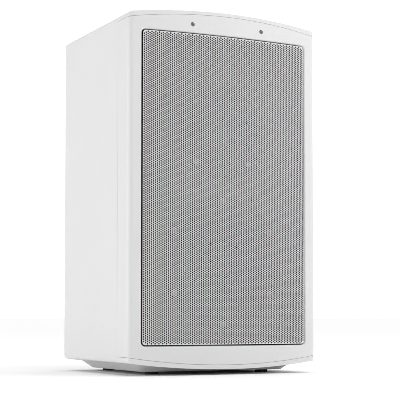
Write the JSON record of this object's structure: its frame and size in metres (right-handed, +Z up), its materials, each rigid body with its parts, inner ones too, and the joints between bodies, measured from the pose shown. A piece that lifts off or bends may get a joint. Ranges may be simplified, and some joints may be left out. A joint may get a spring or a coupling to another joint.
{
  "type": "bookshelf speaker",
  "caption": "Upright loudspeaker with arched top and bottom, bowed perforated front grille, wrap-round bezel, shallow plinth on rubber feet, rear port and recessed binding posts",
  "frame": {"origin": "middle of the footprint, on the plane of the feet", "axes": "+Z up, -Y out of the grille, +X to the right seen from the front"},
  "size_m": [0.2354, 0.2014, 0.4036],
  "materials": {
    "white_satin": "fine satin moulded white",
    "white_rear": "satin white",
    "mdf": "raw fibreboard",
    "baffle_paint": "dark grey paint on fibreboard",
    "grille_metal": "white powder coat",
    "nickel": "nickel plate",
    "screw_steel": "zinc-nickel plated steel",
    "black_metal": "black paint",
    "foam": "closed-cell foam",
    "rubber_black": "butyl rubber",
    "cone_black": "coated paper",
    "copper": "enamelled copper wire",
    "spider_cloth": "impregnated cloth",
    "zinc_steel": "zinc plate",
    "ferrite": "sintered ferrite",
    "brass_parts": "tinned brass",
    "black_plastic": "fine texture",
    "dome_silk": "coated silk",
    "gold_brass": "gold-coloured plate",
    "red_plastic": "gloss",
    "black_gloss": "gloss",
    "pcb": "solder mask",
    "nylon": "nylon",
    "cap_film": "film-wrapped",
    "ceramic_white": "unglazed",
    "lead_jacket": "vinyl jacket",
    "rubber_feet": "black rubber"
  },
  "bodies": {
    "cabinet": {"cabinet_shell": "white_satin", "front_bezel": "white_satin", "base_plinth": "white_satin", "rear_panel": "white_rear", "front_cleat_frame": "mdf", "rear_cleat_frame": "mdf", "baffle_board": "baffle_paint", "grille_panel": "grille_metal", "grille_frame": "black_metal", "grille_magnets": "nickel", "bezel_screws": "screw_steel", "baffle_screws": "screw_steel", "woofer_basket": "black_metal", "woofer_gasket": "foam", "woofer_surround": "rubber_black", "woofer_spider": "spider_cloth", "woofer_top_plate": "zinc_steel", "woofer_magnet": "ferrite", "woofer_yoke": "zinc_steel", "woofer_screws": "screw_steel", "woofer_terminals": "brass_parts", "tweeter_faceplate": "black_plastic", "tweeter_gasket": "foam", "tweeter_surround": "dome_silk", "tweeter_top_plate": "zinc_steel", "tweeter_magnet": "ferrite", "tweeter_back_plate": "zinc_steel", "tweeter_screws": "screw_steel", "tweeter_terminals": "brass_parts", "rear_panel_screws": "screw_steel", "terminal_cup": "black_plastic", "terminal_cup_screws": "screw_steel", "port_tube": "black_plastic", "post_stud_red": "gold_brass", "post_stud_black": "gold_brass", "post_nut_red": "nickel", "post_nut_black": "nickel", "solder_tags": "brass_parts", "crossover_board": "pcb", "board_standoffs": "nylon", "board_screws": "screw_steel", "woofer_inductor": "copper", "tweeter_inductor": "copper", "crossover_capacitors": "cap_film", "crossover_resistors": "ceramic_white", "woofer_lead": "lead_jacket", "tweeter_lead": "lead_jacket", "acoustic_foam": "foam", "rubber_feet": "rubber_feet", "plinth_screws": "screw_steel"},
    "woofer_moving_parts": {"woofer_cone": "cone_black", "woofer_dust_cap": "cone_black", "woofer_voice_coil": "copper"},
    "tweeter_moving_parts": {"tweeter_dome": "dome_silk", "tweeter_voice_coil": "copper"},
    "red_clamp": {"clamp_washer_red": "gold_brass"},
    "red_knob": {"post_knob_red": "red_plastic"},
    "black_clamp": {"clamp_washer_black": "gold_brass"},
    "black_knob": {"post_knob_black": "black_gloss"}
  },
  "joints": [
    {"name": "woofer_stroke", "type": "slide", "parent": "cabinet", "child": "woofer_moving_parts", "axis": [0, -1, 0], "range_m": [-0.003, 0.003], "stiffness_N_per_m": 1500, "deforming": ["woofer_surround", "woofer_spider"]},
    {"name": "tweeter_stroke", "type": "slide", "parent": "cabinet", "child": "tweeter_moving_parts", "axis": [0, -1, 0], "range_m": [-0.0003, 0.0003], "stiffness_N_per_m": 400, "deforming": ["tweeter_surround"]},
    {"name": "red_post_travel", "type": "slide", "parent": "cabinet", "child": "red_clamp", "axis": [0, 1, 0], "range_m": [0, 0.005]},
    {"name": "red_post_turn", "type": "hinge", "parent": "red_clamp", "child": "red_knob", "pos_m": [-0.00953, 0.08725, 0.095], "axis": [0, 1, 0], "range_deg": [0, 2400]},
    {"name": "black_post_travel", "type": "slide", "parent": "cabinet", "child": "black_clamp", "axis": [0, 1, 0], "range_m": [0, 0.005]},
    {"name": "black_post_turn", "type": "hinge", "parent": "black_clamp", "child": "black_knob", "pos_m": [0.00953, 0.08725, 0.095], "axis": [0, 1, 0], "range_deg": [0, 2400]}
  ],
  "couplings": [
    {"joint": "red_post_turn", "follows": "red_post_travel", "rad_per_m": 8377.6},
    {"joint": "black_post_turn", "follows": "black_post_travel", "rad_per_m": 8377.6}
  ]
}
